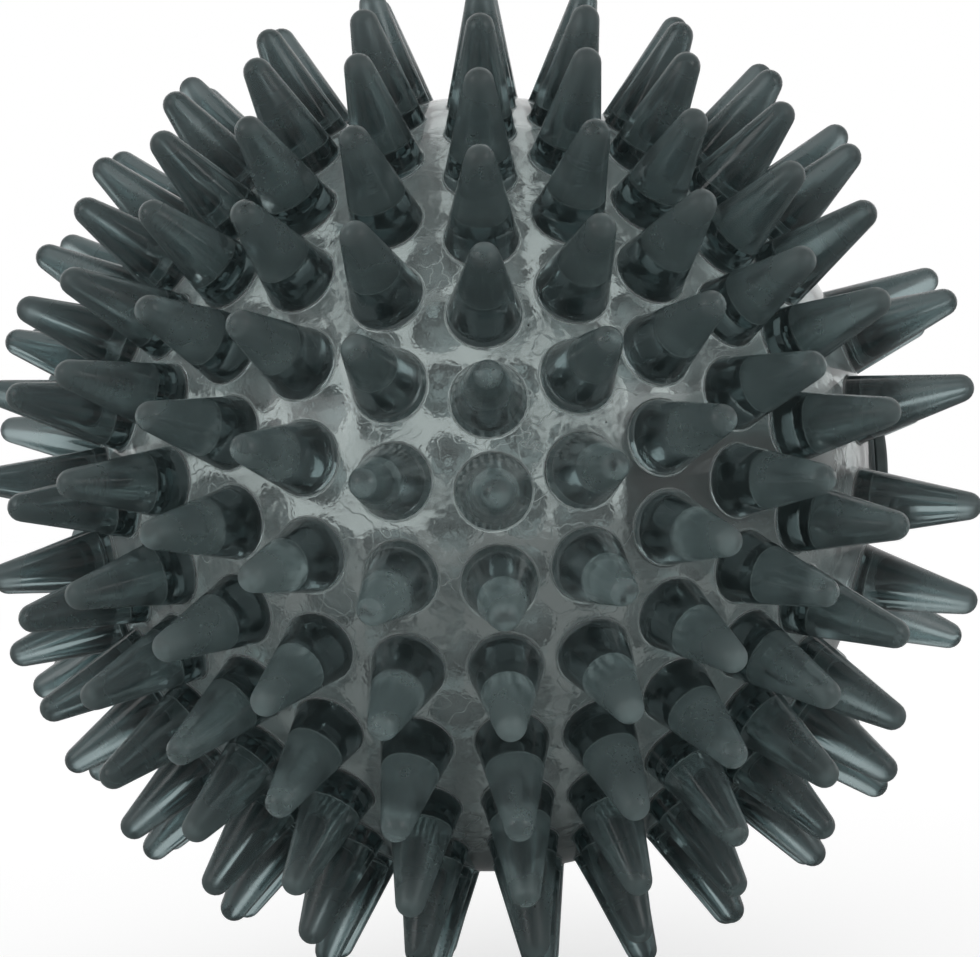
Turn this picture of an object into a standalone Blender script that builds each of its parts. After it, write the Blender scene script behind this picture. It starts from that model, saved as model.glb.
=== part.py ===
"""Spiky massage ball: a hollow soft PVC ball moulded in one piece with its solid spikes and a deep
valve pocket, a ribbed valve body pressed into the pocket, and the plug that closes the valve.

Metres, +Z up. The origin is the centre of the ball. The spikes stand in parallel rings round
the X axis. The valve is at the bare pole of the rings, at +X.
"""
import math

import bmesh
import bpy
from mathutils import Matrix, Vector

# Ball wall, and how finely its smooth inner skin is divided
BODY_RADIUS = 0.0350
WALL = 0.0025
INNER_DIVISIONS = 4

# Spikes, each a solid round-tipped cone, and the least clear skin between two bases
SPIKE_LENGTH = 0.0103
SPIKE_BASE_RADIUS = 0.0030
SPIKE_TIP_RADIUS = 0.0012
SPIKE_SIDES = 8
SPIKE_CLEAR = 0.0003

# Rings of spikes, from the one nearest the -X pole: latitude from the middle plane in degrees,
# how many spikes the ring has, and the angle of one of them from the front, upwards, in degrees
RING_LATITUDES = (-80.0, -68.5, -57.0, -45.0, -32.5, -21.0, -9.0, 3.5, 15.0, 26.0, 37.5, 48.5, 68.5)
RING_COUNTS = (5, 12, 16, 22, 26, 27, 29, 31, 29, 28, 25, 20, 10)
RING_PHASES = (20.0, 10.0, 0.8, 3.8, 10.3, 5.0, 1.0, -1.0, 1.0, 5.1, -1.9, 7.7, -15.7)

# Valve pocket: a tube of the same moulding, from the wall inwards, with a holed floor
SEAT_GAP = 0.0003
POCKET_RADIUS = 0.0074
POCKET_DEPTH = 0.0228
POCKET_FLOOR = 0.0015
AIR_HOLE_RADIUS = 0.0012
POCKET_CLEAR = 0.0010

# Valve body: a flanged cylinder with ribs that hold it in grooves of the pocket
VALVE_SIDES = 32
VALVE_RADIUS = 0.0042
FLANGE_RADIUS = 0.0050
FLANGE_THICKNESS = 0.0012
RIB_COUNT = 3
RIB_HEIGHT = 0.0005
RIB_WIDTH = 0.0008
RIB_PITCH = 0.0018
FIRST_RIB_DEPTH = 0.0060
BORE_RADIUS = 0.0018
BORE_DEPTH = 0.0095
PIN_HOLE_RADIUS = 0.0006

# Plug
PLUG_HEAD_RADIUS = 0.0034
PLUG_HEAD_THICKNESS = 0.0010
EDGE_BEVEL = 0.0002
STEM_END_BEVEL = 0.0005

# Finish of the pieces: an edge sharper than this angle stays sharp under smooth shading
SHARP_EDGE = math.radians(35.0)
SMOKE_PVC = ((0.115, 0.145, 0.140, 1.0), 0.22)
VALVE_RUBBER = ((0.050, 0.058, 0.058, 1.0), 0.45)
PLUG_RUBBER = ((0.030, 0.034, 0.034, 1.0), 0.40)

# Where the valve's seats lie, as distances from the ball's centre along +X
INNER_RADIUS = BODY_RADIUS - WALL
SEAT_RADIUS = FLANGE_RADIUS + SEAT_GAP
SEAT_RIM = math.sqrt(BODY_RADIUS ** 2 - SEAT_RADIUS ** 2)
SEAT_FLOOR = SEAT_RIM - FLANGE_THICKNESS
FLANGE_BOTTOM = SEAT_FLOOR + SEAT_GAP
FLANGE_TOP = FLANGE_BOTTOM + FLANGE_THICKNESS
POCKET_ROOT = math.sqrt(INNER_RADIUS ** 2 - POCKET_RADIUS ** 2)
POCKET_END = BODY_RADIUS - POCKET_DEPTH
POCKET_BOTTOM = POCKET_END + POCKET_FLOOR
POCKET_BORE_RADIUS = VALVE_RADIUS + SEAT_GAP
VALVE_END = POCKET_BOTTOM + SEAT_GAP
BORE_END = FLANGE_TOP - BORE_DEPTH
PLUG_SEAT = FLANGE_TOP + SEAT_GAP
PLUG_TOP = PLUG_SEAT + PLUG_HEAD_THICKNESS
PLUG_END = BORE_END + SEAT_GAP
STEM_RADIUS = BORE_RADIUS - SEAT_GAP


def clear_scene():
    for obj in list(bpy.data.objects):
        bpy.data.objects.remove(obj, do_unlink=True)


def material(name, finish):
    colour, roughness = finish
    mat = bpy.data.materials.new(name)
    mat.use_nodes = True
    mat.diffuse_color = colour
    shader = mat.node_tree.nodes["Principled BSDF"]
    shader.inputs["Base Color"].default_value = colour
    shader.inputs["Roughness"].default_value = roughness
    shader.inputs["Metallic"].default_value = 0.0
    return mat


def finish_object(name, bm, mat, place=Matrix.Identity(4)):
    bmesh.ops.triangulate(bm, faces=bm.faces[:])
    bmesh.ops.recalc_face_normals(bm, faces=bm.faces[:])
    mesh = bpy.data.meshes.new(name)
    bm.to_mesh(mesh)
    bm.free()
    mesh.shade_smooth()
    mesh.set_sharp_from_angle(angle=SHARP_EDGE)
    mesh.materials.append(mat)
    obj = bpy.data.objects.new(name, mesh)
    obj.matrix_world = place
    bpy.context.collection.objects.link(obj)
    return obj


def ring_latitudes():
    """Latitude of each ring, with clear skin between its bases and those of the ring before it."""
    least_step = 2.0 * math.asin((SPIKE_BASE_RADIUS + SPIKE_CLEAR / 2.0) / BODY_RADIUS)
    latitudes = []
    for degrees in RING_LATITUDES:
        latitude = math.radians(degrees)
        if latitudes:
            latitude = max(latitude, latitudes[-1] + least_step)
        latitudes.append(latitude)
    return latitudes


def fitting_count(count, latitude):
    """As many of a ring's spikes as have clear skin round their bases.

    A ring loses spikes where they would meet each other, and all of them where they would meet
    across its pole or reach the valve's seat at +X.
    """
    ring_radius = BODY_RADIUS * math.cos(latitude)
    pole_radius = SEAT_RADIUS if latitude > 0.0 else 0.0
    if ring_radius < pole_radius + SPIKE_CLEAR + SPIKE_BASE_RADIUS:
        return 0
    half_step = math.asin((SPIKE_BASE_RADIUS + SPIKE_CLEAR / 2.0) / ring_radius)
    return min(count, int(math.pi / half_step))


def spike_frames():
    """The axis of every spike and two directions square to it, ring by ring from -X to +X."""
    frames = []
    for latitude, full_count, phase in zip(ring_latitudes(), RING_COUNTS, RING_PHASES):
        count = fitting_count(full_count, latitude)
        for step in range(count):
            turn = math.radians(phase) + math.tau * step / count
            axis = Vector((
                math.sin(latitude),
                -math.cos(latitude) * math.cos(turn),
                math.cos(latitude) * math.sin(turn),
            ))
            along = Vector((0.0, math.sin(turn), math.cos(turn)))
            frames.append((axis, along, axis.cross(along)))
    return frames


def loop_points(frame, radius, height, sides):
    """Points of a regular loop round a frame's axis, at one height above the ball's centre."""
    axis, first, second = frame
    points = []
    for step in range(sides):
        turn = math.tau * step / sides
        points.append(axis * height + (first * math.cos(turn) + second * math.sin(turn)) * radius)
    return points


def add_loop(bm, frame, radius, height, sides):
    return [bm.verts.new(point) for point in loop_points(frame, radius, height, sides)]


def sphere_height(sphere_radius, radius):
    """How far from the centre a loop of this radius lies when it is drawn on a sphere."""
    return math.sqrt(sphere_radius ** 2 - radius ** 2)


def bridge(bm, lower, upper):
    count = len(lower)
    for step in range(count):
        after = (step + 1) % count
        bm.faces.new((lower[step], lower[after], upper[after], upper[step]))


def close_to_point(bm, loop, point):
    tip = bm.verts.new(point)
    count = len(loop)
    for step in range(count):
        bm.faces.new((loop[step], loop[(step + 1) % count], tip))


def skin_between_loops(bm, loops, between=()):
    """The sphere's skin between loops drawn on it: their convex hull without the loops' discs.

    The verts in between lie on the same sphere, clear of the loops.
    """
    owner = {}
    for index, loop in enumerate(loops):
        for vert in loop:
            owner[vert] = index
    hull = bmesh.ops.convex_hull(bm, input=list(owner) + list(between), use_existing_faces=False)
    faces = [item for item in hull["geom"] if isinstance(item, bmesh.types.BMFace)]
    discs = []
    for face in faces:
        owners = {owner.get(vert) for vert in face.verts}
        if len(owners) == 1 and None not in owners:
            discs.append(face)
    bmesh.ops.delete(bm, geom=discs, context="FACES_KEEP_BOUNDARY")


def sphere_points(radius, divisions, clear_of, clear_radius):
    """Points spread evenly over a sphere, apart from a cap round one direction."""
    bm = bmesh.new()
    bmesh.ops.create_icosphere(bm, subdivisions=divisions, radius=radius)
    points = []
    for vert in bm.verts:
        beside = clear_of.cross(vert.co).length > clear_radius
        behind = clear_of.dot(vert.co) < 0.0
        if beside or behind:
            points.append(vert.co.copy())
    bm.free()
    return points


def spike_profile():
    """The cone's loop under the round tip: its radius and its height from the ball's centre."""
    base = sphere_height(BODY_RADIUS, SPIKE_BASE_RADIUS)
    centre = BODY_RADIUS + SPIKE_LENGTH - SPIKE_TIP_RADIUS
    reach = math.hypot(centre - base, SPIKE_BASE_RADIUS)
    slope = math.atan2(SPIKE_BASE_RADIUS, centre - base) - math.asin(SPIKE_TIP_RADIUS / reach)
    shoulder_radius = SPIKE_TIP_RADIUS * math.cos(slope)
    shoulder_height = centre + SPIKE_TIP_RADIUS * math.sin(slope)
    return shoulder_radius, shoulder_height


def rib_profile(radius, clearance):
    """Points of radius and height round the ribs, from the lowest rib up to the first one.

    The clearance widens them, which gives the pocket's grooves.
    """
    profile = []
    for index in reversed(range(RIB_COUNT)):
        top = BODY_RADIUS - FIRST_RIB_DEPTH - RIB_PITCH * index + clearance
        bottom = top - RIB_WIDTH - 2.0 * clearance
        crest = radius + RIB_HEIGHT
        profile += [(radius, bottom), (crest, bottom), (crest, top), (radius, top)]
    return profile


def build_shell(mat):
    """The one moulding: outer skin with spikes, smooth inner skin, and the valve's pocket."""
    bm = bmesh.new()
    frames = spike_frames()
    valve = valve_frame()
    shoulder_radius, shoulder_height = spike_profile()
    base_height = sphere_height(BODY_RADIUS, SPIKE_BASE_RADIUS)

    bases = [add_loop(bm, frame, SPIKE_BASE_RADIUS, base_height, SPIKE_SIDES) for frame in frames]
    seat_rim = add_loop(bm, valve, SEAT_RADIUS, SEAT_RIM, VALVE_SIDES)
    skin_between_loops(bm, bases + [seat_rim])

    pocket_root = add_loop(bm, valve, POCKET_RADIUS, POCKET_ROOT, VALVE_SIDES)
    inside = sphere_points(INNER_RADIUS, INNER_DIVISIONS, valve[0], POCKET_RADIUS + POCKET_CLEAR)
    skin_between_loops(bm, [pocket_root], [bm.verts.new(point) for point in inside])

    for frame, base in zip(frames, bases):
        shoulder = add_loop(bm, frame, shoulder_radius, shoulder_height, SPIKE_SIDES)
        bridge(bm, base, shoulder)
        close_to_point(bm, shoulder, frame[0] * (BODY_RADIUS + SPIKE_LENGTH))

    profile = [
        (POCKET_RADIUS, POCKET_END),
        (AIR_HOLE_RADIUS, POCKET_END),
        (AIR_HOLE_RADIUS, POCKET_BOTTOM),
        (POCKET_BORE_RADIUS, POCKET_BOTTOM),
    ]
    profile += rib_profile(POCKET_BORE_RADIUS, SEAT_GAP)
    profile += [(POCKET_BORE_RADIUS, SEAT_FLOOR), (SEAT_RADIUS, SEAT_FLOOR)]
    path = [pocket_root]
    path += [add_loop(bm, valve, radius, height, VALVE_SIDES) for radius, height in profile]
    path.append(seat_rim)
    for lower, upper in zip(path, path[1:]):
        bridge(bm, lower, upper)
    return finish_object("shell", bm, mat)


def valve_frame():
    axis = Vector((1.0, 0.0, 0.0))
    up = Vector((0.0, 0.0, 1.0))
    return axis, up, axis.cross(up)


def turned(name, profile, mat, origin_height, closed):
    """A piece turned about the valve's axis from points of radius and distance from the centre.

    An open profile starts and ends on the axis. The object's origin lies on the axis at
    origin_height.
    """
    bm = bmesh.new()
    frame = valve_frame()
    loops = []
    inner = profile if closed else profile[1:-1]
    for radius, height in inner:
        loops.append(add_loop(bm, frame, radius, height, VALVE_SIDES))
    for lower, upper in zip(loops, loops[1:]):
        bridge(bm, lower, upper)
    if closed:
        bridge(bm, loops[-1], loops[0])
    else:
        close_to_point(bm, loops[0], frame[0] * profile[0][1])
        close_to_point(bm, loops[-1], frame[0] * profile[-1][1])
    place = Matrix.Translation(frame[0] * origin_height)
    bmesh.ops.transform(bm, matrix=place.inverted(), verts=bm.verts[:])
    return finish_object(name, bm, mat, place)


def build_valve_body(mat):
    """The press-in valve: a flange in the shell's seat and a ribbed body with a stepped bore."""
    profile = [
        (PIN_HOLE_RADIUS, VALVE_END),
        (VALVE_RADIUS - EDGE_BEVEL, VALVE_END),
        (VALVE_RADIUS, VALVE_END + EDGE_BEVEL),
    ]
    profile += rib_profile(VALVE_RADIUS, 0.0)
    profile += [
        (VALVE_RADIUS, FLANGE_BOTTOM),
        (FLANGE_RADIUS, FLANGE_BOTTOM),
        (FLANGE_RADIUS, FLANGE_TOP - EDGE_BEVEL),
        (FLANGE_RADIUS - EDGE_BEVEL, FLANGE_TOP),
        (BORE_RADIUS, FLANGE_TOP),
        (BORE_RADIUS, BORE_END),
        (PIN_HOLE_RADIUS, BORE_END),
    ]
    return turned("valve_body", profile, mat, FLANGE_BOTTOM, closed=True)


def build_valve_plug(mat):
    """The stopper: a flat head that is pinched to pull it, and a stem down the valve's bore."""
    profile = (
        (0.0, PLUG_END),
        (STEM_RADIUS - STEM_END_BEVEL, PLUG_END),
        (STEM_RADIUS, PLUG_END + STEM_END_BEVEL),
        (STEM_RADIUS, PLUG_SEAT),
        (PLUG_HEAD_RADIUS, PLUG_SEAT),
        (PLUG_HEAD_RADIUS, PLUG_TOP - EDGE_BEVEL),
        (PLUG_HEAD_RADIUS - EDGE_BEVEL, PLUG_TOP),
        (0.0, PLUG_TOP),
    )
    return turned("valve_plug", profile, mat, PLUG_SEAT, closed=False)


def main():
    clear_scene()
    build_shell(material("smoke_pvc", SMOKE_PVC))
    build_valve_body(material("valve_rubber", VALVE_RUBBER))
    build_valve_plug(material("plug_rubber", PLUG_RUBBER))


main()
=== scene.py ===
"""Spiky massage ball: a hollow ball of smoke-grey soft PVC with rings of solid round-tipped spikes,
and a ribbed air valve with its plug in a deep pocket. Metres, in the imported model's frame."""
import math

import bmesh
import bpy
import numpy as np
from mathutils import Matrix, Vector, noise


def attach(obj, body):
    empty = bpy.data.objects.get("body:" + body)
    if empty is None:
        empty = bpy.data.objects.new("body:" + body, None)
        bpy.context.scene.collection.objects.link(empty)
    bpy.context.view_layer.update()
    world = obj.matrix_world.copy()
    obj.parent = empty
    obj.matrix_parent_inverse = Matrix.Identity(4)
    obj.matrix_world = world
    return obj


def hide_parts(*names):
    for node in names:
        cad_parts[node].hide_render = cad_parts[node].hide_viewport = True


# Ball and spikes. A spike leans by its height to the power LEAN_BEND. The fillet at its foot ends
# FILLET_REACH beside it and FILLET_RISE up its side. SKIN_MARGIN is a narrow ring of skin round the
# fillet, and LOOP_CLEAR the least distance from such a loop to the skin's other points, which have
# the spacings named here. TRIANGLE_HEIGHT is that of an equal-sided triangle over its side.
BODY_RADIUS = 0.0350
WALL = 0.0025
WALL_WAVE = 0.00010
WAVE_SCALES = (3.1, 8.3)
WAVE_SHARES = (1.0, 0.45)
WAVE_OFFSETS = ((7.0, 2.0, 5.0), (1.0, 9.0, 4.0))
SPIKE_LENGTH = 0.0103
SPIKE_BASE_RADIUS = 0.0030
SPIKE_TIP_RADIUS = 0.0012
SPIKE_LEAN = math.radians(1.0)
LEAN_BEND = 1.3
LEAN_SEED = 11
FILLET_REACH = 0.00010
FILLET_RISE = 0.00022
FILLET_CREASE = 0.00001
SKIN_MARGIN = 0.00008
LOOP_CLEAR = 0.0004
SPIKE_SEGMENTS = 24
FILLET_STEPS = 2
SIDE_STEPS = 4
TIP_STEPS = 5
OUTER_SPACING = 0.0011
INNER_SPACING = 0.0014
TRIANGLE_HEIGHT = 0.866

# Rings of spikes, from the -X pole: latitude in degrees, number of spikes, and the angle of one
# spike from the front in degrees
RING_LATITUDES = (
    -80.0, -68.5, -57.0, -45.0, -32.5, -21.0, -9.0, 3.5, 15.0, 26.0, 37.5, 48.5, 68.5,
)
RING_COUNTS = (5, 12, 16, 22, 26, 27, 29, 31, 29, 28, 25, 20, 10)
RING_PHASES = (20.0, 10.0, 0.8, 3.8, 10.3, 5.0, 1.0, -1.0, 1.0, 5.1, -1.9, 7.7, -15.7)

# Valve pocket, valve body and plug
SEAT_GAP = 0.0003
POCKET_RADIUS = 0.0074
POCKET_DEPTH = 0.0228
POCKET_FLOOR = 0.0015
AIR_HOLE_RADIUS = 0.0012
VALVE_RADIUS = 0.0042
FLANGE_RADIUS = 0.0050
FLANGE_THICKNESS = 0.0012
RIB_COUNT = 3
RIB_HEIGHT = 0.0005
RIB_WIDTH = 0.0008
RIB_PITCH = 0.0018
RIB_SOFT_SHARE = 0.18
RIB_SHOULDER = 0.3
FIRST_RIB_DEPTH = 0.0060
BORE_RADIUS = 0.0018
BORE_DEPTH = 0.0095
PIN_HOLE_RADIUS = 0.0006
PLUG_HEAD_RADIUS = 0.0034
PLUG_HEAD_THICKNESS = 0.0010
PLUG_GROOVE_SHARE = 0.62
PLUG_GROOVE_HALF_WIDTH = 0.00025
PLUG_GROOVE_DEPTH = 0.00018
VALVE_SEGMENTS = 64

# Radii of the rounded edges in the pocket, on the valve body and on the plug, the steps of each
# round, and the angle from which an edge is kept sharp
POCKET_END_ROUND = 0.0007
POCKET_EDGE_ROUND = 0.0002
VALVE_END_ROUND = 0.0004
FLANGE_ROUND = 0.0003
BORE_MOUTH_ROUND = 0.00025
STEM_END_ROUND = 0.0006
PLUG_EDGE_ROUND = 0.0001
PLUG_RIM_ROUND = 0.0003
ROUND_STEPS = 4
SHARP_EDGE = math.radians(50.0)

# Smoke PVC: the heights above the ball's skin between which its masks rise, the widths over which
# the pocket's mask fades, the scales of its patterns, and its colours
FOOT_LINE = (0.00003, 0.00007)
SPIKE_START = (0.0001, 0.0003)
# Between the UPPER_START heights the painted shade low on each spike turns into its upper tint
UPPER_START = (0.0020, 0.0050)
TIP_START = (0.0070, SPIKE_LENGTH - 0.0006)
POCKET_FADE = 0.0002
POCKET_SKIN_FADE = 0.0003
POCKET_SIDE_FADE = 0.0001
PATCH_SCALE = 170.0
SCRATCH_SCALE = 300.0
SCRATCH_PATCH_SCALE = 120.0
GRAIN_SCALE = 1100.0
PORE_SCALE = 3000.0
SPECK_SCALE = 330.0
SPECK_SIZE = 0.035
WALL_CLEAR = (0.87, 0.92, 0.91, 1.0)
WALL_SCUFFED = (0.75, 0.80, 0.79, 1.0)
WALL_SCRATCHED = (0.90, 0.96, 0.96, 1.0)
# The pale ring at each spike's foot is a painted highlight, standing in for the light that a
# rounded crease would catch there
FOOT_PAINTED_HIGHLIGHT = (0.97, 0.98, 0.98, 1.0)
# Each spike's lower part is painted darker than its upper part: painted shade for the dark band low
# on the spike
SPIKE_PAINTED_SHADE = (0.23, 0.29, 0.295, 1.0)
SPIKE_UPPER = (0.45, 0.56, 0.57, 1.0)
SPIKE_FROSTED = (0.52, 0.63, 0.64, 1.0)
SPECK_COLOUR = (0.05, 0.06, 0.06, 1.0)
POCKET_COLOUR = (0.36, 0.48, 0.49, 1.0)
PVC_TRANSMISSION = 0.89
PVC_VOLUME_COLOUR = (0.27, 0.37, 0.375, 1.0)
PVC_VOLUME_DENSITY = 60.0
PLASTIC_IOR = 1.5

# Soft rubber of the valve and its plug: colour, roughness and transmission
VALVE_LOOK = ((0.28, 0.38, 0.39, 1.0), 0.34, 0.75)
PLUG_LOOK = ((0.17, 0.21, 0.21, 1.0), 0.36, 0.5)

# Camera: its distance in ball radii, its turn and roll, its lens and sensor in millimetres, and
# its shift, which was measured in pixels of the photograph
CAMERA_DISTANCE = 6.0
CAMERA_YAW = math.radians(-2.6)
CAMERA_ROLL = math.radians(3.44)
CAMERA_LENS = 84.2
CAMERA_SENSOR = 36.0
CAMERA_CLIP = 0.01
PHOTO_WIDTH = 980.0
SHIFT_X = 4.0 / PHOTO_WIDTH
SHIFT_Y = 5.5 / PHOTO_WIDTH

# Light of the studio: the plain level that lights dull surfaces, and what clear plastic shows of
# the room, a white backdrop behind the ball and a dim room at its sides and in front of it. One
# turns into the other between the BACKDROP_EDGE values of a ray's direction along +Y.
WORLD_PLAIN = 0.60
WORLD_BACK = 0.85
WORLD_ROOM = 0.23
BACKDROP_EDGE = (0.05, 0.75)

# Floor, the two lamps, and how often light bounces
FLOOR_ALBEDO = 0.40
FLOOR_ROUGHNESS = 0.9
FLOOR_HALF_SIZE = 3.0
FLOOR_GAP = 0.0001
LAMP_WATTS = 0.35
LAMP_SIZE = 0.30
LEFT_LAMP = (-0.45, -0.40, 0.25)
RIGHT_LAMP = (0.50, -0.40, 0.22)
BOUNCES = 12
GLOSSY_BOUNCES = 8

# The valve's axis, and the sizes and places that follow from those above
VALVE_AXIS = np.array((1.0, 0.0, 0.0))
SEAT_RADIUS = FLANGE_RADIUS + SEAT_GAP
SEAT_RIM = math.sqrt(BODY_RADIUS ** 2 - SEAT_RADIUS ** 2)
SEAT_FLOOR = SEAT_RIM - FLANGE_THICKNESS
FLANGE_BOTTOM = SEAT_FLOOR + SEAT_GAP
FLANGE_TOP = FLANGE_BOTTOM + FLANGE_THICKNESS
POCKET_END = BODY_RADIUS - POCKET_DEPTH
POCKET_BOTTOM = POCKET_END + POCKET_FLOOR
POCKET_BORE_RADIUS = VALVE_RADIUS + SEAT_GAP
VALVE_END = POCKET_BOTTOM + SEAT_GAP
BORE_END = FLANGE_TOP - BORE_DEPTH
PLUG_SEAT = FLANGE_TOP + SEAT_GAP
PLUG_TOP = PLUG_SEAT + PLUG_HEAD_THICKNESS
PLUG_END = BORE_END + SEAT_GAP
STEM_RADIUS = BORE_RADIUS - SEAT_GAP

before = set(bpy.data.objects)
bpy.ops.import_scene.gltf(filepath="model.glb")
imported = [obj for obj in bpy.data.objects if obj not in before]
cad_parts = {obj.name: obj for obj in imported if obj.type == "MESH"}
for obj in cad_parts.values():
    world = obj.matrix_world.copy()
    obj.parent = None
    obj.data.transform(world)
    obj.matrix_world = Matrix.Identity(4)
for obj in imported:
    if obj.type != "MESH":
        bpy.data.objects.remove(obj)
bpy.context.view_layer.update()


def spike_axes():
    """Unit directions of all the spikes, ring by ring."""
    axes = []
    for degrees, count, phase in zip(RING_LATITUDES, RING_COUNTS, RING_PHASES):
        latitude = math.radians(degrees)
        for step in range(count):
            turn = math.radians(phase) + math.tau * step / count
            axes.append((
                math.sin(latitude),
                -math.cos(latitude) * math.cos(turn),
                math.cos(latitude) * math.sin(turn),
            ))
    return np.array(axes)


def square_directions(axis):
    """Two directions square to an axis and to each other."""
    helper = np.array((1.0, 0.0, 0.0)) if abs(axis[0]) < 0.9 else np.array((0.0, 0.0, 1.0))
    first = np.cross(helper, axis)
    first /= np.linalg.norm(first)
    return first, np.cross(axis, first)


def loop_points(axis, radius, height, segments):
    """A round loop of points about an axis, at a height from the ball's centre."""
    first, second = square_directions(axis)
    turns = np.linspace(0.0, math.tau, segments, endpoint=False)
    ring = np.cos(turns)[:, None] * first + np.sin(turns)[:, None] * second
    return axis * height + ring * radius


def sphere_height(sphere_radius, radius):
    """Height at which a loop of this radius lies on a sphere."""
    return math.sqrt(sphere_radius ** 2 - radius ** 2)


def fill_points(sphere_radius, centres, clear_radii, spacing):
    """An even spiral of points over a sphere, left out where a loop is near."""
    count = int(4.0 * math.pi * sphere_radius ** 2 / (spacing ** 2 * TRIANGLE_HEIGHT))
    index = np.arange(count) + 0.5
    polar = 1.0 - 2.0 * index / count
    turn = math.pi * (1.0 + math.sqrt(5.0)) * index
    ring = np.sqrt(1.0 - polar ** 2)
    points = np.stack((ring * np.cos(turn), ring * np.sin(turn), polar), axis=1)
    cosine = points @ centres.T
    limit = np.cos(np.asarray(clear_radii) / sphere_radius)
    keep = (cosine < limit[None, :]).all(axis=1)
    return points[keep] * sphere_radius


def hull_skin(loops, extra, outward):
    """Triangles of the sphere's skin between loops drawn on it, as indices into one point list."""
    points = np.concatenate(loops + [extra])
    owner = np.concatenate([np.full(len(loop), i) for i, loop in enumerate(loops)]
                           + [np.arange(len(extra)) + len(loops)])
    bm = bmesh.new()
    verts = [bm.verts.new(point) for point in points]
    for i, vert in enumerate(verts):
        vert.index = i
    hull = bmesh.ops.convex_hull(bm, input=verts, use_existing_faces=False)
    faces = []
    for item in hull["geom"]:
        if isinstance(item, bmesh.types.BMFace):
            corners = [vert.index for vert in item.verts]
            if len(set(owner[corners])) > 1:
                normal = np.cross(points[corners[1]] - points[corners[0]],
                                  points[corners[2]] - points[corners[0]])
                if (normal @ points[corners[0]] > 0) != outward:
                    corners.reverse()
                faces.append(corners)
    bm.free()
    return points, faces


def bridge_faces(lower, upper, count):
    """Quads between two loops, given by the index of their first points."""
    faces = []
    for step in range(count):
        after = (step + 1) % count
        faces.append([lower + step, lower + after, upper + after, upper + step])
    return faces


def fan_faces(loop, tip, count, flip):
    """Triangles from a loop to one point; flip turns them over."""
    faces = []
    for step in range(count):
        tri = [loop + step, loop + (step + 1) % count, tip]
        faces.append(tri[::-1] if flip else tri)
    return faces


def spike_profile():
    """Radius and height of the loop where the skin ends, then of the loops from foot to tip."""
    foot_radius = SPIKE_BASE_RADIUS + FILLET_REACH
    foot_height = sphere_height(BODY_RADIUS, foot_radius)
    base = sphere_height(BODY_RADIUS, SPIKE_BASE_RADIUS)
    centre = BODY_RADIUS + SPIKE_LENGTH - SPIKE_TIP_RADIUS
    reach = math.hypot(centre - base, SPIKE_BASE_RADIUS)
    slope = math.atan2(SPIKE_BASE_RADIUS, centre - base) - math.asin(SPIKE_TIP_RADIUS / reach)
    shoulder_radius = SPIKE_TIP_RADIUS * math.cos(slope)
    shoulder_height = centre + SPIKE_TIP_RADIUS * math.sin(slope)
    profile = [(foot_radius, foot_height)]
    side_radius = SPIKE_BASE_RADIUS - FILLET_RISE * math.tan(slope)
    side_height = base + FILLET_RISE
    for step in range(1, FILLET_STEPS + 1):
        part = step / FILLET_STEPS
        first = (1 - part) ** 2
        middle = 2 * part * (1 - part)
        last = part ** 2
        profile.append((
            first * foot_radius + middle * SPIKE_BASE_RADIUS + last * side_radius,
            first * foot_height + middle * (base + FILLET_CREASE) + last * side_height,
        ))
    for step in range(1, SIDE_STEPS):
        part = step / SIDE_STEPS
        profile.append((
            side_radius + (shoulder_radius - side_radius) * part,
            side_height + (shoulder_height - side_height) * part,
        ))
    for step in range(TIP_STEPS):
        angle = slope + (math.pi / 2 - slope) * step / TIP_STEPS
        profile.append((
            SPIKE_TIP_RADIUS * math.cos(angle),
            centre + SPIKE_TIP_RADIUS * math.sin(angle),
        ))
    skin_radius = foot_radius + SKIN_MARGIN
    return skin_radius, sphere_height(BODY_RADIUS, skin_radius), profile


def lean(points, axis, shift):
    """Bend a spike's loop sideways: by nothing at its base, by the whole shift at its tip."""
    rise = np.clip((points @ axis - BODY_RADIUS) / SPIKE_LENGTH, 0.0, 1.0)
    return points + np.outer(rise ** LEAN_BEND, shift)


def wavy(points):
    """The inner skin's slow waves, which make the wall a little thicker here and thinner there."""
    out = []
    for point in points:
        unit = Vector(point).normalized()
        wave = 0.0
        for scale, share, offset in zip(WAVE_SCALES, WAVE_SHARES, WAVE_OFFSETS):
            wave += share * noise.noise(unit * scale + Vector(offset))
        out.append(Vector(point) + unit * WALL_WAVE * wave)
    return np.array(out)


def rib_profile(radius, clearance):
    """Points of radius and height round the ribs, from the lowest rib up to the first one."""
    profile = []
    for index in reversed(range(RIB_COUNT)):
        top = BODY_RADIUS - FIRST_RIB_DEPTH - RIB_PITCH * index + clearance
        bottom = top - RIB_WIDTH - 2.0 * clearance
        crest = radius + RIB_HEIGHT
        soft = RIB_WIDTH * RIB_SOFT_SHARE
        profile += [
            (radius, bottom),
            (crest - soft, bottom + soft * RIB_SHOULDER),
            (crest, bottom + soft),
            (crest, top - soft),
            (crest - soft, top - soft * RIB_SHOULDER),
            (radius, top),
        ]
    return profile


def rounded(before, corner, after, radius):
    """Points of a small round drawn in place of a profile's sharp corner."""
    corner = np.array(corner)
    into = corner - np.array(before)
    away = np.array(after) - corner
    start = corner - into / np.linalg.norm(into) * radius
    end = corner + away / np.linalg.norm(away) * radius
    points = []
    for step in range(ROUND_STEPS + 1):
        part = step / ROUND_STEPS
        point = (1 - part) ** 2 * start + 2 * part * (1 - part) * corner + part ** 2 * end
        points.append(tuple(point))
    return points


def softened(profile, rounds):
    """A profile with some of its corners rounded: rounds maps a corner's index to its radius."""
    out = []
    for index, point in enumerate(profile):
        if index in rounds:
            after = profile[(index + 1) % len(profile)]
            out += rounded(profile[index - 1], point, after, rounds[index])
        else:
            out.append(point)
    return out


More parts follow.
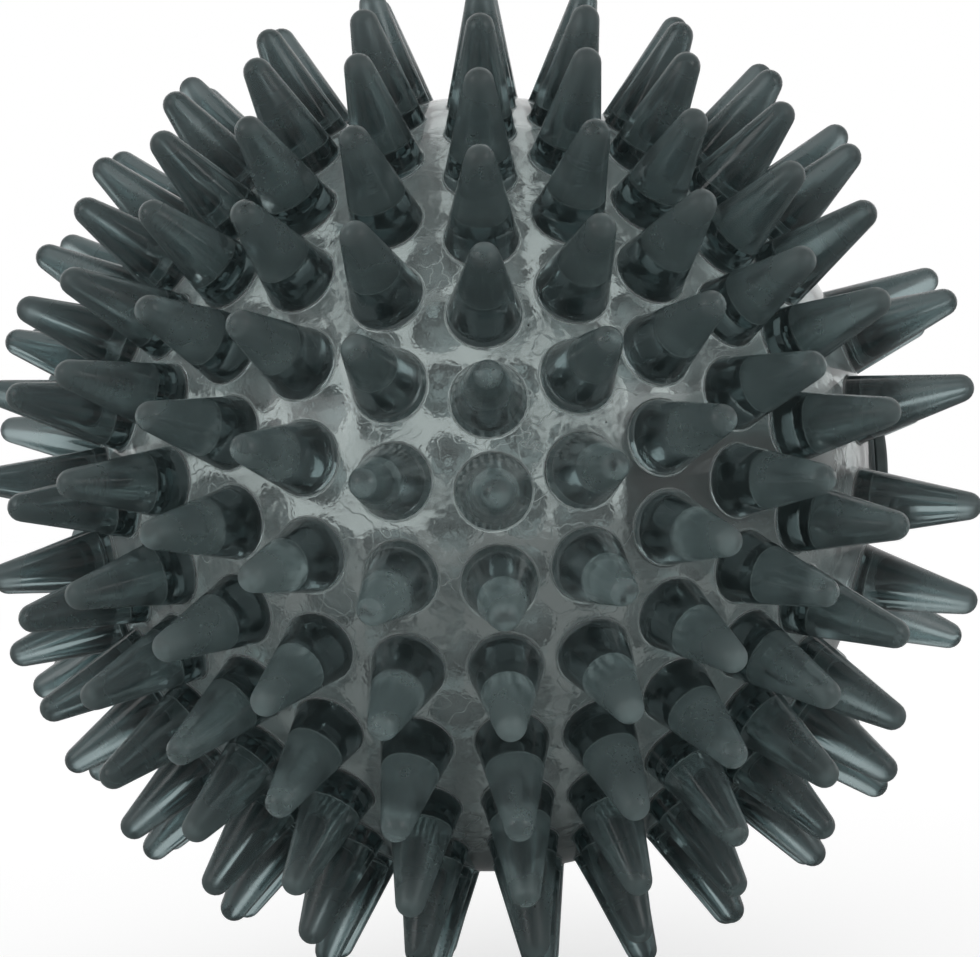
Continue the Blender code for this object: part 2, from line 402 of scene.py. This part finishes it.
def new_object(name, points, faces):
    """A smooth-shaded object with its sharp edges kept sharp."""
    mesh = bpy.data.meshes.new(name)
    mesh.from_pydata(np.asarray(points).tolist(), [], faces)
    mesh.update()
    mesh.validate()
    mesh.shade_smooth()
    mesh.set_sharp_from_angle(angle=SHARP_EDGE)
    obj = bpy.data.objects.new(name, mesh)
    bpy.context.collection.objects.link(obj)
    return obj


def build_shell():
    """The ball, its spikes and its valve pocket as one closed skin."""
    axes = spike_axes()
    random = np.random.default_rng(LEAN_SEED)
    inner_radius = BODY_RADIUS - WALL
    pocket_root = sphere_height(inner_radius, POCKET_RADIUS)
    skin_radius, skin_height, profile = spike_profile()

    centres = np.concatenate((axes, VALVE_AXIS[None, :]))
    loops = [loop_points(axis, skin_radius, skin_height, SPIKE_SEGMENTS) for axis in axes]
    loops.append(loop_points(VALVE_AXIS, SEAT_RADIUS, SEAT_RIM, VALVE_SEGMENTS))
    clear = [skin_radius + LOOP_CLEAR] * len(axes) + [SEAT_RADIUS + LOOP_CLEAR]
    extra = fill_points(BODY_RADIUS, centres, clear, OUTER_SPACING)
    points, faces = hull_skin(loops, extra, True)
    points = [points]
    total = len(points[0])

    for index, axis in enumerate(axes):
        first, second = square_directions(axis)
        turn = random.uniform(0.0, math.tau)
        amount = SPIKE_LENGTH * math.tan(SPIKE_LEAN) * abs(random.normal())
        shift = (first * math.cos(turn) + second * math.sin(turn)) * amount
        lower = index * SPIKE_SEGMENTS
        for radius, height in profile:
            loop = loop_points(axis, radius, height, SPIKE_SEGMENTS)
            points.append(lean(loop, axis, shift))
            faces += bridge_faces(lower, total, SPIKE_SEGMENTS)
            lower = total
            total += SPIKE_SEGMENTS
        tip = (axis * (BODY_RADIUS + SPIKE_LENGTH))[None, :]
        points.append(lean(tip, axis, shift))
        faces += fan_faces(lower, total, SPIKE_SEGMENTS, False)
        total += 1

    mouth = loop_points(VALVE_AXIS, POCKET_RADIUS, pocket_root, VALVE_SEGMENTS)
    clear = [POCKET_RADIUS + LOOP_CLEAR]
    extra = fill_points(inner_radius, VALVE_AXIS[None, :], clear, INNER_SPACING)
    inner_points, inner_faces = hull_skin([mouth], extra, False)
    start = total
    points.append(wavy(inner_points))
    faces += [[corner + start for corner in face] for face in inner_faces]
    total += len(inner_points)

    corners = [
        (POCKET_RADIUS, pocket_root),
        (POCKET_RADIUS, POCKET_END),
        (AIR_HOLE_RADIUS, POCKET_END),
        (AIR_HOLE_RADIUS, POCKET_BOTTOM),
        (POCKET_BORE_RADIUS, POCKET_BOTTOM),
    ]
    corners += rib_profile(POCKET_BORE_RADIUS, SEAT_GAP)
    corners += [(POCKET_BORE_RADIUS, SEAT_FLOOR), (SEAT_RADIUS, SEAT_FLOOR)]
    rounds = {
        1: POCKET_END_ROUND,
        2: POCKET_EDGE_ROUND,
        3: POCKET_EDGE_ROUND,
        len(corners) - 2: POCKET_EDGE_ROUND,
    }
    lower = start
    for radius, height in softened(corners, rounds)[1:]:
        points.append(loop_points(VALVE_AXIS, radius, height, VALVE_SEGMENTS))
        faces += bridge_faces(lower, total, VALVE_SEGMENTS)
        lower = total
        total += VALVE_SEGMENTS
    faces += bridge_faces(lower, len(axes) * SPIKE_SEGMENTS, VALVE_SEGMENTS)
    return new_object("pvc_shell", np.concatenate(points), faces)


def turned(name, profile, closed):
    """A piece turned about the valve's axis; an open profile starts and ends on the axis."""
    points = []
    faces = []
    total = 0
    inner = profile if closed else profile[1:-1]
    for radius, height in inner:
        points.append(loop_points(VALVE_AXIS, radius, height, VALVE_SEGMENTS))
        if total:
            faces += bridge_faces(total - VALVE_SEGMENTS, total, VALVE_SEGMENTS)
        total += VALVE_SEGMENTS
    if closed:
        faces += bridge_faces(total - VALVE_SEGMENTS, 0, VALVE_SEGMENTS)
    else:
        points.append((VALVE_AXIS * profile[0][1])[None, :])
        faces += fan_faces(0, total, VALVE_SEGMENTS, True)
        points.append((VALVE_AXIS * profile[-1][1])[None, :])
        faces += fan_faces(total - VALVE_SEGMENTS, total + 1, VALVE_SEGMENTS, False)
    return new_object(name, np.concatenate(points), faces)


def build_valve_body():
    """The soft insert: a flange, a ribbed body and a stepped bore."""
    profile = [(PIN_HOLE_RADIUS, VALVE_END), (VALVE_RADIUS, VALVE_END)]
    profile += rib_profile(VALVE_RADIUS, 0.0)
    profile += [
        (VALVE_RADIUS, FLANGE_BOTTOM),
        (FLANGE_RADIUS, FLANGE_BOTTOM),
        (FLANGE_RADIUS, FLANGE_TOP),
        (BORE_RADIUS, FLANGE_TOP),
        (BORE_RADIUS, BORE_END),
        (PIN_HOLE_RADIUS, BORE_END),
    ]
    rounds = {
        1: VALVE_END_ROUND,
        len(profile) - 4: FLANGE_ROUND,
        len(profile) - 3: BORE_MOUTH_ROUND,
    }
    return turned("soft_valve_body", softened(profile, rounds), True)


def build_valve_plug():
    """The stopper: a stem and a flat head with one ring groove."""
    groove = PLUG_HEAD_RADIUS * PLUG_GROOVE_SHARE
    profile = [
        (0.0, PLUG_END),
        (STEM_RADIUS, PLUG_END),
        (STEM_RADIUS, PLUG_SEAT),
        (PLUG_HEAD_RADIUS, PLUG_SEAT),
        (PLUG_HEAD_RADIUS, PLUG_TOP),
        (groove + PLUG_GROOVE_HALF_WIDTH, PLUG_TOP),
        (groove, PLUG_TOP - PLUG_GROOVE_DEPTH),
        (groove - PLUG_GROOVE_HALF_WIDTH, PLUG_TOP),
        (0.0, PLUG_TOP),
    ]
    rounds = {1: STEM_END_ROUND, 2: PLUG_EDGE_ROUND, 3: PLUG_EDGE_ROUND, 4: PLUG_RIM_ROUND}
    return turned("soft_valve_plug", softened(profile, rounds), False)


class Graph:
    """Short names for the few kinds of node and the masks that the materials are made of."""

    def __init__(self, name):
        self.mat = bpy.data.materials.new(name)
        self.mat.use_nodes = True
        self.nodes = self.mat.node_tree.nodes
        self.shader = self.nodes["Principled BSDF"]
        self.output = self.nodes["Material Output"]
        self.coords = self.nodes.new("ShaderNodeTexCoord").outputs["Object"]

    def link(self, source, target):
        self.mat.node_tree.links.new(source, target)

    def noise(self, scale, detail, distortion=0.0):
        node = self.nodes.new("ShaderNodeTexNoise")
        node.inputs["Scale"].default_value = scale
        node.inputs["Detail"].default_value = detail
        node.inputs["Distortion"].default_value = distortion
        self.link(self.coords, node.inputs["Vector"])
        return node.outputs["Fac"]

    def spread(self, value, low, high, to_low, to_high, smooth=False):
        """A value's range from low to high, spread over a new range and held at its ends."""
        node = self.nodes.new("ShaderNodeMapRange")
        node.interpolation_type = "SMOOTHSTEP" if smooth else "LINEAR"
        node.inputs["From Min"].default_value = low
        node.inputs["From Max"].default_value = high
        node.inputs["To Min"].default_value = to_low
        node.inputs["To Max"].default_value = to_high
        self.link(value, node.inputs["Value"])
        return node.outputs["Result"]

    def math(self, operation, first, second):
        node = self.nodes.new("ShaderNodeMath")
        node.operation = operation
        for socket, value in zip(node.inputs, (first, second)):
            if isinstance(value, (int, float)):
                socket.default_value = value
            else:
                self.link(value, socket)
        return node.outputs["Value"]

    def mix(self, factor, first, second):
        node = self.nodes.new("ShaderNodeMix")
        node.data_type = "RGBA"
        self.link(factor, node.inputs["Factor"])
        for socket, value in ((node.inputs["A"], first), (node.inputs["B"], second)):
            if isinstance(value, tuple):
                socket.default_value = value
            else:
                self.link(value, socket)
        return node.outputs["Result"]

    def distance(self, across=False):
        """Distance from the ball's centre, or from the valve's axis."""
        source = self.coords
        if across:
            flat = self.nodes.new("ShaderNodeVectorMath")
            flat.operation = "MULTIPLY"
            flat.inputs[1].default_value = (0.0, 1.0, 1.0)
            self.link(source, flat.inputs[0])
            source = flat.outputs["Vector"]
        node = self.nodes.new("ShaderNodeVectorMath")
        node.operation = "LENGTH"
        self.link(source, node.inputs[0])
        return node.outputs["Value"]

    def along(self):
        """Place along the valve's axis."""
        split = self.nodes.new("ShaderNodeSeparateXYZ")
        self.link(self.coords, split.inputs["Vector"])
        return split.outputs["X"]

    def specks(self, scale, size):
        """Small round dots, in some of the cells of a pattern."""
        node = self.nodes.new("ShaderNodeTexVoronoi")
        node.inputs["Scale"].default_value = scale
        self.link(self.coords, node.inputs["Vector"])
        near = self.spread(node.outputs["Distance"], size * 0.7, size, 1.0, 0.0)
        split = self.nodes.new("ShaderNodeSeparateColor")
        self.link(node.outputs["Color"], split.inputs["Color"])
        chosen = self.spread(split.outputs["Red"], 0.60, 0.62, 0.0, 1.0)
        return self.math("MULTIPLY", near, chosen)

    def above(self, away, heights, smooth=False):
        """0 up to the first height above the ball's skin, 1 from the second one on."""
        low, high = heights
        return self.spread(away, BODY_RADIUS + low, BODY_RADIUS + high, 0.0, 1.0, smooth)

    def pocket(self, away):
        """1 on the pocket's tube, which is near the valve's axis and inside the wall."""
        across = self.distance(across=True)
        near_axis = self.spread(across, POCKET_RADIUS, POCKET_RADIUS + POCKET_FADE, 1.0, 0.0)
        inner = BODY_RADIUS - WALL
        below_skin = self.spread(away, inner - POCKET_SKIN_FADE, inner, 1.0, 0.0)
        valve_side = self.spread(self.along(), 0.0, POCKET_SIDE_FADE, 0.0, 1.0)
        return self.math("MULTIPLY", self.math("MULTIPLY", near_axis, below_skin), valve_side)

    def scratches(self):
        """Thin lines where one noise passes its middle, in the patches of another."""
        ridge = self.math("SUBTRACT", self.noise(SCRATCH_SCALE, 2.0), 0.5)
        lines = self.spread(self.math("ABSOLUTE", ridge, 0.0), 0.0, 0.010, 1.0, 0.0, True)
        patches = self.noise(SCRATCH_PATCH_SCALE, 0.0)
        places = self.spread(patches, 0.50, 0.62, 0.0, 1.0, True)
        return self.math("MULTIPLY", lines, places)

    def total(self, first, *parts):
        """A sum of a value and of masks, each mask times its own amount."""
        value = first
        for mask, amount in parts:
            value = self.math("ADD", value, self.math("MULTIPLY", mask, amount))
        return value

    def bump(self, height, strength, distance):
        """Fine relief of the surface from a height."""
        node = self.nodes.new("ShaderNodeBump")
        node.inputs["Strength"].default_value = strength
        node.inputs["Distance"].default_value = distance
        self.link(height, node.inputs["Height"])
        self.link(node.outputs["Normal"], self.shader.inputs["Normal"])


def pvc_material():
    """Clear smoke PVC: a scuffed and scratched wall, frosted spikes, fine pores and dark specks,
    with painted shade on the lower part of each spike and a painted highlight ring round each
    spike's foot.
    """
    graph = Graph("smoke_pvc_clear")
    shader = graph.shader
    away = graph.distance()
    spike = graph.above(away, SPIKE_START)
    upper = graph.above(away, UPPER_START, True)
    tip = graph.above(away, TIP_START, True)
    wall = graph.math("SUBTRACT", 1.0, spike)
    patches = graph.noise(PATCH_SCALE, 2.0)
    scuffs = graph.math("MULTIPLY", graph.spread(patches, 0.54, 0.66, 0.0, 1.0, True), wall)
    frost = graph.math("MULTIPLY", graph.spread(patches, 0.42, 0.62, 0.0, 1.0, True), upper)
    foot = graph.math("MULTIPLY", graph.above(away, FOOT_LINE), wall)
    pocket = graph.pocket(away)
    scratches = graph.math("MULTIPLY", graph.scratches(), wall)
    pores = graph.noise(PORE_SCALE, 1.0)

    shade = graph.mix(scuffs, WALL_CLEAR, WALL_SCUFFED)
    shade = graph.mix(scratches, shade, WALL_SCRATCHED)
    # A pale ring round each spike's foot: a painted highlight
    shade = graph.mix(foot, shade, FOOT_PAINTED_HIGHLIGHT)
    top = graph.mix(frost, SPIKE_UPPER, SPIKE_FROSTED)
    # Spikes: painted shade on their lower part, and their own tint with frosted patches above
    shade = graph.mix(spike, shade, graph.mix(upper, SPIKE_PAINTED_SHADE, top))
    shade = graph.mix(graph.specks(SPECK_SCALE, SPECK_SIZE), shade, SPECK_COLOUR)
    shade = graph.mix(pocket, shade, POCKET_COLOUR)
    graph.link(shade, shader.inputs["Base Color"])

    rough = graph.total(
        graph.spread(upper, 0.0, 1.0, 0.045, 0.12),
        (scuffs, 0.10),
        (foot, 0.25),
        (tip, 0.13),
        (frost, 0.16),
        (pocket, 0.30),
        (scratches, 0.22),
    )
    rough = graph.math("ADD", rough, graph.spread(pores, 0.3, 0.7, -0.01, 0.02))
    graph.link(rough, shader.inputs["Roughness"])

    height = graph.math("MULTIPLY", graph.noise(GRAIN_SCALE, 1.0), scuffs)
    graph.bump(graph.total(height, (scratches, 0.10), (pores, 0.12)), 0.35, 0.00012)

    shader.inputs["Transmission Weight"].default_value = PVC_TRANSMISSION
    shader.inputs["IOR"].default_value = PLASTIC_IOR
    volume = graph.nodes.new("ShaderNodeVolumeAbsorption")
    volume.inputs["Color"].default_value = PVC_VOLUME_COLOUR
    volume.inputs["Density"].default_value = PVC_VOLUME_DENSITY
    graph.link(volume.outputs["Volume"], graph.output.inputs["Volume"])
    return graph.mat


def soft_material(name, colour, roughness, transmission):
    """Satin soft rubber: a cloudy colour, fine pores, and a light sheen of handling marks."""
    graph = Graph(name)
    shader = graph.shader
    cloud = graph.noise(420.0, 3.0)
    pores = graph.noise(5200.0, 4.0)
    marks = graph.noise(900.0, 4.0, 1.4)
    dark = tuple(0.8 * part for part in colour[:3]) + (1.0,)
    light = tuple(1.2 * part for part in colour[:3]) + (1.0,)
    shade = graph.mix(graph.spread(cloud, 0.35, 0.65, 0.0, 1.0), dark, light)
    graph.link(shade, shader.inputs["Base Color"])
    rough = graph.spread(marks, 0.35, 0.65, roughness - 0.06, roughness + 0.08)
    graph.link(rough, shader.inputs["Roughness"])
    graph.bump(graph.total(graph.math("MULTIPLY", pores, 0.6), (marks, 0.4)), 0.3, 0.00004)
    shader.inputs["IOR"].default_value = PLASTIC_IOR
    shader.inputs["Transmission Weight"].default_value = transmission
    return graph.mat


def build_stage(low):
    """A pale floor: the camera sees it white, and it keeps the ball's shadow."""
    bm = bmesh.new()
    corners = []
    for x, y in ((-1, -1), (1, -1), (1, 1), (-1, 1)):
        corners.append(bm.verts.new((x * FLOOR_HALF_SIZE, y * FLOOR_HALF_SIZE, low)))
    bm.faces.new(corners)
    mesh = bpy.data.meshes.new("floor")
    bm.to_mesh(mesh)
    bm.free()
    floor = bpy.data.objects.new("floor", mesh)
    bpy.context.collection.objects.link(floor)
    mat = bpy.data.materials.new("floor_paper")
    mat.use_nodes = True
    nodes = mat.node_tree.nodes
    links = mat.node_tree.links
    shader = nodes["Principled BSDF"]
    shader.inputs["Base Color"].default_value = (FLOOR_ALBEDO,) * 3 + (1.0,)
    shader.inputs["Roughness"].default_value = FLOOR_ROUGHNESS
    shader.inputs["Specular IOR Level"].default_value = 0.0
    shader.inputs["Emission Color"].default_value = (1.0, 1.0, 1.0, 1.0)
    path = nodes.new("ShaderNodeLightPath")
    gain = nodes.new("ShaderNodeMath")
    gain.operation = "MULTIPLY"
    gain.inputs[1].default_value = 1.0 - FLOOR_ALBEDO * WORLD_PLAIN
    links.new(path.outputs["Is Camera Ray"], gain.inputs[0])
    links.new(gain.outputs["Value"], shader.inputs["Emission Strength"])
    mesh.materials.append(mat)


def build_world():
    """A white studio: the camera sees it white, and clear plastic shows it brighter behind."""
    world = bpy.data.worlds.new("studio")
    world.use_nodes = True
    bpy.context.scene.world = world
    nodes = world.node_tree.nodes
    links = world.node_tree.links
    back = nodes["Background"]
    coords = nodes.new("ShaderNodeTexCoord")
    split = nodes.new("ShaderNodeSeparateXYZ")
    links.new(coords.outputs["Generated"], split.inputs["Vector"])
    level = nodes.new("ShaderNodeMapRange")
    level.interpolation_type = "SMOOTHSTEP"
    level.inputs["From Min"].default_value = BACKDROP_EDGE[0]
    level.inputs["From Max"].default_value = BACKDROP_EDGE[1]
    level.inputs["To Min"].default_value = WORLD_ROOM
    level.inputs["To Max"].default_value = WORLD_BACK
    links.new(split.outputs["Y"], level.inputs["Value"])
    path = nodes.new("ShaderNodeLightPath")
    plain = nodes.new("ShaderNodeMix")
    links.new(path.outputs["Is Diffuse Ray"], plain.inputs["Factor"])
    links.new(level.outputs["Result"], plain.inputs["A"])
    plain.inputs["B"].default_value = WORLD_PLAIN
    strength = nodes.new("ShaderNodeMix")
    links.new(path.outputs["Is Camera Ray"], strength.inputs["Factor"])
    links.new(plain.outputs["Result"], strength.inputs["A"])
    strength.inputs["B"].default_value = 1.0
    back.inputs["Color"].default_value = (1.0, 1.0, 1.0, 1.0)
    links.new(strength.outputs["Result"], back.inputs["Strength"])


def add_lamp(name, place):
    """A soft square lamp that faces the ball."""
    data = bpy.data.lights.new(name, "AREA")
    data.shape = "RECTANGLE"
    data.size = LAMP_SIZE
    data.size_y = LAMP_SIZE
    data.energy = LAMP_WATTS
    lamp = bpy.data.objects.new(name, data)
    lamp.location = place
    lamp.rotation_euler = (-Vector(place)).to_track_quat("-Z", "Y").to_euler()
    bpy.context.collection.objects.link(lamp)


def build_camera():
    """The camera of the photograph, a little to the right of the front and rolled."""
    data = bpy.data.cameras.new("camera")
    data.sensor_width = CAMERA_SENSOR
    data.lens = CAMERA_LENS
    data.shift_x = SHIFT_X
    data.shift_y = SHIFT_Y
    data.clip_start = CAMERA_CLIP
    camera = bpy.data.objects.new("camera", data)
    back = Vector((-math.sin(CAMERA_YAW), -math.cos(CAMERA_YAW), 0.0))
    place = back * CAMERA_DISTANCE * BODY_RADIUS
    right = Vector((0.0, 0.0, 1.0)).cross(back).normalized()
    up = back.cross(right)
    leaned_up = up * math.cos(CAMERA_ROLL) + right * math.sin(CAMERA_ROLL)
    leaned_right = leaned_up.cross(back)
    matrix = Matrix((leaned_right, leaned_up, back)).transposed().to_4x4()
    matrix.translation = place
    camera.matrix_world = matrix
    bpy.context.collection.objects.link(camera)
    bpy.context.scene.camera = camera


def dress(obj, mat, body, node):
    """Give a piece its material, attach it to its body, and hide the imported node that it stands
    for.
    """
    obj.data.materials.append(mat)
    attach(obj, body)
    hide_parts(node)


def build_scene():
    scene = bpy.context.scene
    scene.view_settings.view_transform = "Standard"
    scene.cycles.max_bounces = BOUNCES
    scene.cycles.transmission_bounces = BOUNCES
    scene.cycles.glossy_bounces = GLOSSY_BOUNCES

    dress(build_shell(), pvc_material(), "ball", "shell")
    valve_mat = soft_material("valve_soft", *VALVE_LOOK)
    dress(build_valve_body(), valve_mat, "ball", "valve_body")
    plug_mat = soft_material("plug_soft", *PLUG_LOOK)
    dress(build_valve_plug(), plug_mat, "plug", "valve_plug")

    build_stage(-(BODY_RADIUS + SPIKE_LENGTH) - FLOOR_GAP)
    build_world()
    add_lamp("left_lamp", LEFT_LAMP)
    add_lamp("right_lamp", RIGHT_LAMP)
    build_camera()


build_scene()
